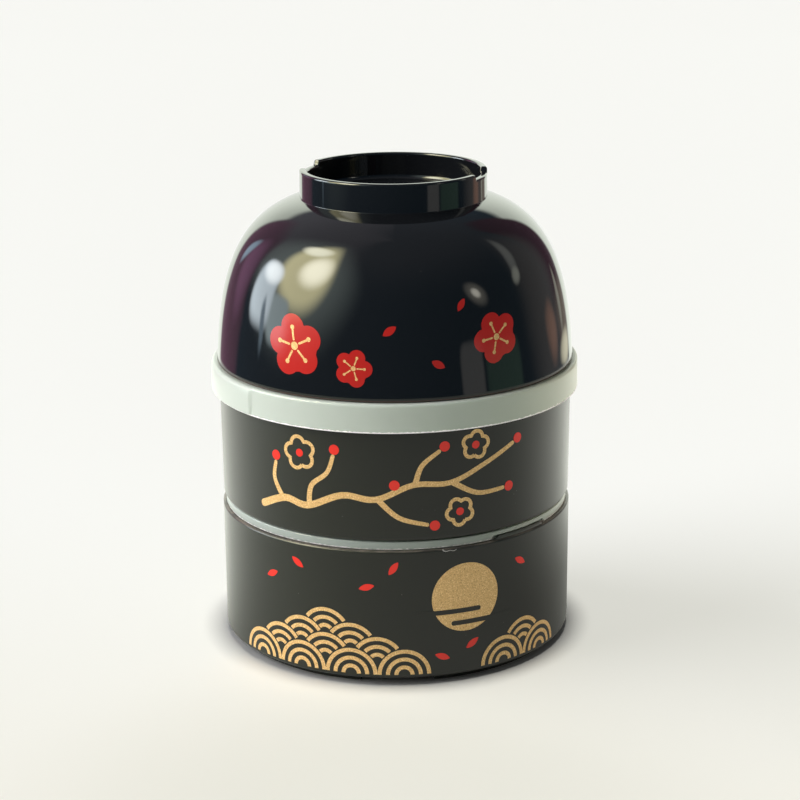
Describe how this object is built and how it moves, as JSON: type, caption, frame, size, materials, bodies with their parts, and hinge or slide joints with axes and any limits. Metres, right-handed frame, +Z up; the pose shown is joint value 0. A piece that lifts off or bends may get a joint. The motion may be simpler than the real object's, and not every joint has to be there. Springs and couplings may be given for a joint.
{
  "type": "bento box",
  "caption": "Round stacked lunch box: black plastic tiers with pale lids between them, a loose divider, and a glossy soup bowl turned over on top as the cover.",
  "frame": {"origin": "centre of the underside, on the surface that the box stands on, on the axis of the round body", "axes": "+Z up along the box's axis; -Y is the printed front, +X is to the right of someone looking at the front"},
  "size_m": [0.1134, 0.113, 0.1458],
  "materials": {
    "soft_touch_black": "fine matt lacquer over black polypropylene",
    "milky_grey_lid": "satin milky polyethylene, slightly translucent",
    "milky_white_lid": "satin milky polyethylene, slightly translucent",
    "plain_black": "satin black polypropylene",
    "gloss_black": "high gloss lacquer",
    "gold_ink": "screen-printed gold ink with a fine metallic speckle",
    "red_ink": "screen-printed red ink"
  },
  "bodies": {
    "lower_container": {"lower_container": "soft_touch_black"},
    "lower_lid": {"lower_lid": "milky_grey_lid"},
    "upper_container": {"upper_container": "soft_touch_black"},
    "divider": {"divider": "plain_black"},
    "upper_lid": {"upper_lid": "milky_white_lid"},
    "bowl": {"bowl": "gloss_black"}
  },
  "joints": [
    {"name": "lower_lid_lift", "type": "slide", "parent": "lower_container", "child": "lower_lid", "axis": [0, 0, 1], "range_m": [0, 0.03]},
    {"name": "upper_container_lift", "type": "slide", "parent": "lower_lid", "child": "upper_container", "axis": [0, 0, 1], "range_m": [0, 0.03]},
    {"name": "divider_lift", "type": "slide", "parent": "upper_container", "child": "divider", "axis": [0, 0, 1], "range_m": [0, 0.045]},
    {"name": "upper_lid_lift", "type": "slide", "parent": "divider", "child": "upper_lid", "axis": [0, 0, 1], "range_m": [0, 0.03]},
    {"name": "bowl_lift", "type": "slide", "parent": "upper_lid", "child": "bowl", "axis": [0, 0, 1], "range_m": [0, 0.04]}
  ]
}
